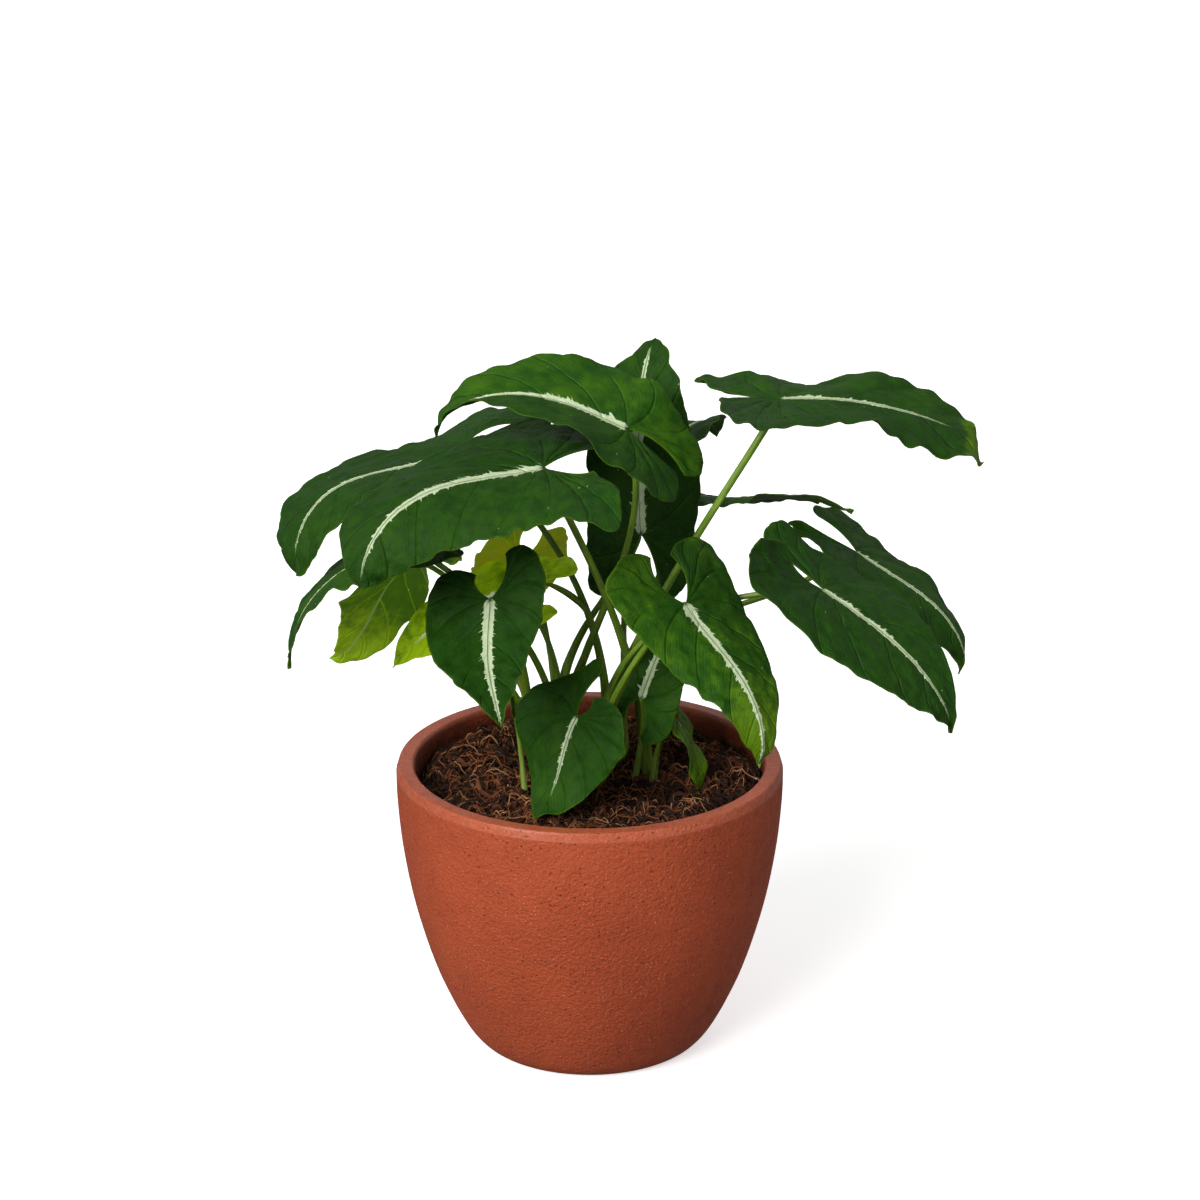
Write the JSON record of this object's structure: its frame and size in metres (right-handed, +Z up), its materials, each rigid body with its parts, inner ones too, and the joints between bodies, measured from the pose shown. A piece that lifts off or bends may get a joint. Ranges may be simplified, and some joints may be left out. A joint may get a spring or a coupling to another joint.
{
  "type": "potted aroid plant",
  "caption": "Potted arrow-leaved climbing aroid: dark green blades with a pale jagged midrib on slender stalks, in a round terracotta-coloured pot of coir.",
  "frame": {"origin": "centre of the pot's flat underside", "axes": "+Z up along the pot's axis, -Y towards the viewer of the picture, +X to that viewer's right"},
  "size_m": [0.2878, 0.2035, 0.2876],
  "materials": {
    "terracotta": "unglazed clay, matte, finely speckled",
    "coir": "loose coir potting mix with fibres and a few white grains",
    "leaf_green": "dark green leaf with a velvety sheen and a pale jagged midrib",
    "leaf_yellow_green": "light yellow-green leaf, soft sheen",
    "leaf_stalk": "smooth green leaf stalk, slight sheen"
  },
  "bodies": {
    "root": {"pot": "terracotta", "soil": "coir", "top_leaf_blade": "leaf_green", "top_leaf_stalk": "leaf_stalk", "front_left_leaf_blade": "leaf_green", "front_left_leaf_stalk": "leaf_stalk", "far_left_leaf_blade": "leaf_green", "far_left_leaf_stalk": "leaf_stalk", "lower_left_leaf_blade": "leaf_green", "lower_left_leaf_stalk": "leaf_stalk", "hanging_leaf_blade": "leaf_yellow_green", "hanging_leaf_stalk": "leaf_stalk", "inner_left_leaf_blade": "leaf_yellow_green", "inner_left_leaf_stalk": "leaf_stalk", "left_heart_leaf_blade": "leaf_green", "left_heart_leaf_stalk": "leaf_stalk", "old_yellow_leaf_blade": "leaf_yellow_green", "old_yellow_leaf_stalk": "leaf_stalk", "back_upright_leaf_blade": "leaf_green", "back_upright_leaf_stalk": "leaf_stalk", "back_tip_leaf_blade": "leaf_green", "back_tip_leaf_stalk": "leaf_stalk", "upper_right_leaf_blade": "leaf_green", "upper_right_leaf_stalk": "leaf_stalk", "level_right_leaf_blade": "leaf_green", "level_right_leaf_stalk": "leaf_stalk", "right_back_leaf_blade": "leaf_green", "right_back_leaf_stalk": "leaf_stalk", "right_front_leaf_blade": "leaf_green", "right_front_leaf_stalk": "leaf_stalk", "centre_right_leaf_blade": "leaf_green", "centre_right_leaf_stalk": "leaf_stalk", "front_low_leaf_blade": "leaf_green", "front_low_leaf_stalk": "leaf_stalk", "shaded_leaf_blade": "leaf_green", "shaded_leaf_stalk": "leaf_stalk", "small_hanging_leaf_blade": "leaf_green", "small_hanging_leaf_stalk": "leaf_stalk", "young_leaf_blade": "leaf_green", "young_leaf_stalk": "leaf_stalk"}
  },
  "joints": []
}
